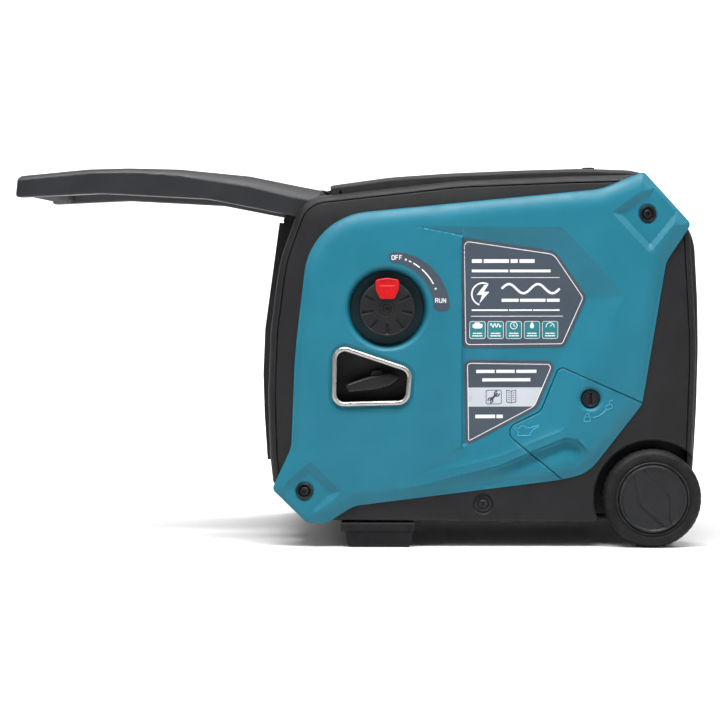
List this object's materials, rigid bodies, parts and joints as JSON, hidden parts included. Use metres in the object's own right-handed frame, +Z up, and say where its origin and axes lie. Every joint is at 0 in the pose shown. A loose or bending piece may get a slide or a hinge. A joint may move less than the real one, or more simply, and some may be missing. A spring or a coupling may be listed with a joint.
{
  "type": "inverter generator",
  "caption": "Closed-case inverter generator with sculpted side panels, a fold-down pull handle, rear wheels, front feet, fuel dial, recoil starter and control panel.",
  "frame": {"origin": "on the floor, under the middle of the overall box with the handle raised", "axes": "+X from the control panel to the wheels, +Y across the case from the recoil starter side to the far side, +Z up"},
  "size_m": [0.8997, 0.4305, 0.4984],
  "materials": {
    "teal_paint": "moulded ABS, satin",
    "charcoal": "textured ABS",
    "black_plastic": "satin",
    "rubber": "matt",
    "tyre": "matt",
    "chrome_trim": "satin chrome",
    "steel": "machined",
    "black_steel": "black oxide",
    "sheet_steel": "heat-darkened",
    "cast_alloy": "as cast",
    "copper": "enamelled winding",
    "natural_poly": "natural polyethylene",
    "label": "printed film",
    "red_plastic": "gloss",
    "yellow_plastic": "gloss",
    "display": "tinted",
    "brass": "machined",
    "ceramic": "glazed"
  },
  "bodies": {
    "chassis": {"base_tray": "charcoal", "side_frame_left": "charcoal", "side_frame_right": "charcoal", "front_frame": "charcoal", "control_panel": "black_plastic", "top_cover": "charcoal", "rear_cover": "charcoal", "exhaust_grille": "sheet_steel", "side_panel_left": "teal_paint", "side_panel_right": "teal_paint", "feet": "rubber", "wheel_axle": "steel", "handle_pins": "steel", "case_screws": "black_steel", "top_plugs": "rubber", "recoil_bezel": "chrome_trim", "recoil_cup": "black_plastic", "side_labels": "label", "fuel_valve": "cast_alloy", "fuel_tank": "natural_poly", "crankcase": "cast_alloy", "cylinder": "cast_alloy", "head_cover": "cast_alloy", "spark_plug": "ceramic", "carburettor": "cast_alloy", "air_cleaner": "black_plastic", "muffler": "sheet_steel", "stator": "copper", "fan_shroud": "black_plastic", "inverter_module": "cast_alloy", "battery": "black_plastic", "oil_dipstick": "yellow_plastic", "engine_mounts": "rubber", "display": "display", "usb_block": "black_plastic", "sockets": "black_plastic", "signal_ports": "black_plastic", "ground_terminal": "brass"},
    "handle": {"handle_rail_left": "charcoal", "handle_rail_right": "charcoal", "handle_grip": "charcoal"},
    "wheel_left": {"tyre_left": "tyre", "hub_left": "black_plastic"},
    "wheel_right": {"tyre_right": "tyre", "hub_right": "black_plastic"},
    "fuel_dial": {"dial_knob": "black_plastic", "dial_pointer": "red_plastic"},
    "starter_grip": {"recoil_grip": "rubber"},
    "starter_pulley": {"recoil_pulley": "natural_poly"},
    "crank": {"crankshaft": "steel", "rotor": "steel"},
    "door": {"maintenance_door": "teal_paint"},
    "door_key": {"door_lock": "black_plastic"},
    "cap_core": {"cap_seal": "rubber"},
    "cap": {"fuel_cap": "black_plastic"},
    "flap_a": {"socket_flap_a": "rubber"},
    "flap_b": {"socket_flap_b": "rubber"},
    "start": {"start_button": "red_plastic"},
    "eco": {"eco_button": "teal_paint"},
    "reset": {"reset_button": "black_plastic"}
  },
  "joints": [
    {"name": "handle_fold", "type": "hinge", "parent": "chassis", "child": "handle", "pos_m": [-0.05, 0, 0.449], "axis": [0, -1, 0], "range_deg": [0, 82]},
    {"name": "wheel_left_spin", "type": "hinge", "parent": "chassis", "child": "wheel_left", "pos_m": [0.3847, -0.1915, 0.0645], "axis": [0, 1, 0], "continuous": true},
    {"name": "wheel_right_spin", "type": "hinge", "parent": "chassis", "child": "wheel_right", "pos_m": [0.3847, 0.1915, 0.0645], "axis": [0, 1, 0], "continuous": true},
    {"name": "fuel_dial_turn", "type": "hinge", "parent": "chassis", "child": "fuel_dial", "pos_m": [0.0367, -0.2, 0.3138], "axis": [0, 1, 0], "range_deg": [0, 80]},
    {"name": "starter_pull", "type": "slide", "parent": "chassis", "child": "starter_grip", "axis": [0, -1, 0], "range_m": [0, 0.5], "stiffness_N_per_m": 20, "springref_m": -0.5},
    {"name": "starter_pulley_turn", "type": "hinge", "parent": "chassis", "child": "starter_pulley", "pos_m": [0.0235, 0, 0.1784], "axis": [1, 0, 0], "range_deg": [0, 640]},
    {"name": "crank_spin", "type": "hinge", "parent": "chassis", "child": "crank", "pos_m": [0.15, 0, 0.1784], "axis": [1, 0, 0], "continuous": true},
    {"name": "door_lift_off", "type": "slide", "parent": "chassis", "child": "door", "axis": [0, -1, 0], "range_m": [0, 0.12]},
    {"name": "door_key_turn", "type": "hinge", "parent": "door", "child": "door_key", "pos_m": [0.3023, -0.2, 0.1958], "axis": [0, 1, 0], "range_deg": [0, 90]},
    {"name": "cap_lift", "type": "slide", "parent": "chassis", "child": "cap_core", "axis": [0, 0, 1], "range_m": [0, 0.12]},
    {"name": "cap_turn", "type": "hinge", "parent": "cap_core", "child": "cap", "pos_m": [0.18, 0, 0.482], "axis": [0, 0, 1], "range_deg": [0, 100]},
    {"name": "flap_a_open", "type": "hinge", "parent": "chassis", "child": "flap_a", "pos_m": [-0.12458, -0.075, 0.242], "axis": [0, 1, 0], "range_deg": [0, 100], "stiffness_Nm_per_rad": 0.02, "springref_deg": -28.65},
    {"name": "flap_b_open", "type": "hinge", "parent": "chassis", "child": "flap_b", "pos_m": [-0.12458, 0.005, 0.242], "axis": [0, 1, 0], "range_deg": [0, 100], "stiffness_Nm_per_rad": 0.02, "springref_deg": -28.65},
    {"name": "start_press", "type": "slide", "parent": "chassis", "child": "start", "axis": [0.9907, 0, -0.1361], "range_m": [0, 0.003], "stiffness_N_per_m": 300, "springref_m": -0.003},
    {"name": "eco_press", "type": "slide", "parent": "chassis", "child": "eco", "axis": [0.9907, 0, -0.1361], "range_m": [0, 0.003], "stiffness_N_per_m": 300, "springref_m": -0.003},
    {"name": "reset_press", "type": "slide", "parent": "chassis", "child": "reset", "axis": [0.9907, 0, -0.1361], "range_m": [0, 0.003], "stiffness_N_per_m": 300, "springref_m": -0.003}
  ],
  "couplings": [
    {"joint": "starter_pulley_turn", "follows": "starter_pull", "rad_per_m": 22.222}
  ]
}
